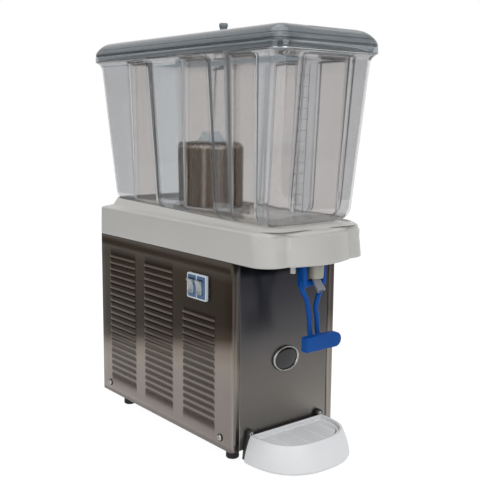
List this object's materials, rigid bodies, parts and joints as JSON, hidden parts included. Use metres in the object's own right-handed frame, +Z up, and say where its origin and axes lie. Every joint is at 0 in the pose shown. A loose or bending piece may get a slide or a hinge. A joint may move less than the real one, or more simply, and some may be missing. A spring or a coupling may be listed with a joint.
{
  "type": "juice dispenser",
  "caption": "Countertop cooled drink dispenser: a clear lidded tank over a stirred cooling drum on a louvred steel cabinet, with a push lever tap and a drip tray.",
  "frame": {"origin": "centre of the bounding box on the table", "axes": "+Z up, -Y towards the user at the tap, +X to the right of the front as the user sees it"},
  "size_m": [0.2128, 0.488, 0.6349],
  "materials": {
    "brushed_steel": "long-grain brushed stainless sheet",
    "plain_steel": "plain cold-rolled or zinc plated steel",
    "chrome": "bright plated metal",
    "white_plastic": "white moulded plastic, soft gloss",
    "tray_plastic": "white moulded plastic, slightly cool",
    "nozzle_plastic": "pale grey moulded plastic",
    "blue_plastic": "deep blue moulded plastic",
    "switch_blue": "dark blue switch body",
    "pale_rocker": "pale translucent rocker",
    "clear_tank": "clear polycarbonate",
    "smoke_lid": "grey tinted polycarbonate",
    "grey_plastic": "grey moulded plastic",
    "black_rubber": "black rubber",
    "black_plastic": "black moulded plastic",
    "black_paint": "black enamel on steel",
    "soft_seal": "pale silicone",
    "stirrer_plastic": "pale bluish moulded plastic",
    "spring_steel": "drawn stainless wire",
    "aluminium_fins": "plain aluminium fins"
  },
  "bodies": {
    "cabinet": {"left_side_panel": "brushed_steel", "right_side_panel": "brushed_steel", "front_panel": "brushed_steel", "rear_panel": "brushed_steel", "base_plate": "plain_steel", "top_frame": "plain_steel", "foot_front_left": "black_rubber", "foot_rear_left": "black_rubber", "foot_front_right": "black_rubber", "foot_rear_right": "black_rubber", "panel_screw_left_front": "chrome", "panel_screw_left_rear": "chrome", "panel_screw_right_front": "chrome", "panel_screw_right_rear": "chrome", "tray_screw_left": "chrome", "tray_screw_right": "chrome", "switch_frame": "white_plastic", "switch_body": "switch_blue", "badge": "chrome", "basin": "white_plastic", "drain_spout": "soft_seal", "evaporator_drum": "brushed_steel", "drum_gasket": "soft_seal", "stirrer_motor": "black_paint", "tap_body": "white_plastic", "tap_spring": "spring_steel", "nozzle": "nozzle_plastic", "lever_pin": "chrome", "tray_bracket": "black_plastic", "compressor": "black_paint", "condenser": "aluminium_fins", "fan_shroud": "black_plastic", "fan_motor": "black_paint"},
    "tank": {"tank": "clear_tank", "spigot_seal": "black_rubber"},
    "lid": {"lid": "smoke_lid", "lid_knob": "grey_plastic"},
    "stirrer": {"stirrer": "stirrer_plastic"},
    "drive": {"drive_magnet": "plain_steel"},
    "fan": {"condenser_fan": "grey_plastic"},
    "lever": {"lever": "blue_plastic"},
    "piston": {"tap_piston": "grey_plastic"},
    "rocker_power": {"rocker_power": "pale_rocker"},
    "rocker_cooling": {"rocker_cooling": "pale_rocker"},
    "tray": {"drip_tray": "tray_plastic"},
    "grille": {"drip_grille": "tray_plastic"}
  },
  "joints": [
    {"name": "lever_push", "type": "hinge", "parent": "cabinet", "child": "lever", "pos_m": [0.00325, -0.193, 0.319], "axis": [1, 0, 0], "range_deg": [0, 15], "stiffness_Nm_per_rad": 0.6, "springref_deg": -22.92},
    {"name": "piston_slide", "type": "slide", "parent": "cabinet", "child": "piston", "axis": [0, 0, -1], "range_m": [0, 0.0037], "deforming": ["tap_spring"]},
    {"name": "lid_lift", "type": "slide", "parent": "tank", "child": "lid", "axis": [0, 0, 1], "range_m": [0, 0.1]},
    {"name": "tank_lift", "type": "slide", "parent": "cabinet", "child": "tank", "axis": [0, 0, 1], "range_m": [0, 0.15]},
    {"name": "drive_spin", "type": "hinge", "parent": "cabinet", "child": "drive", "pos_m": [0.00325, 0.032, 0.4], "axis": [0, 0, 1], "continuous": true},
    {"name": "stirrer_spin", "type": "hinge", "parent": "cabinet", "child": "stirrer", "pos_m": [0.00325, 0.032, 0.46], "axis": [0, 0, 1], "continuous": true},
    {"name": "fan_spin", "type": "hinge", "parent": "cabinet", "child": "fan", "pos_m": [0.00325, -0.051, 0.133], "axis": [0, 1, 0], "continuous": true},
    {"name": "power_rock", "type": "hinge", "parent": "cabinet", "child": "rocker_power", "pos_m": [-0.10205, -0.0755, 0.2505], "axis": [0, 1, 0], "range_deg": [-16, 0]},
    {"name": "cooling_rock", "type": "hinge", "parent": "cabinet", "child": "rocker_cooling", "pos_m": [-0.10205, -0.0555, 0.2505], "axis": [0, 1, 0], "range_deg": [-16, 0]},
    {"name": "tray_pull", "type": "slide", "parent": "cabinet", "child": "tray", "axis": [0, -1, 0], "range_m": [0, 0.1]},
    {"name": "grille_lift", "type": "slide", "parent": "tray", "child": "grille", "axis": [0, 0, 1], "range_m": [0, 0.06]}
  ],
  "couplings": [
    {"joint": "piston_slide", "follows": "lever_push", "m_per_rad": 0.0138},
    {"joint": "stirrer_spin", "follows": "drive_spin", "ratio": 1}
  ]
}
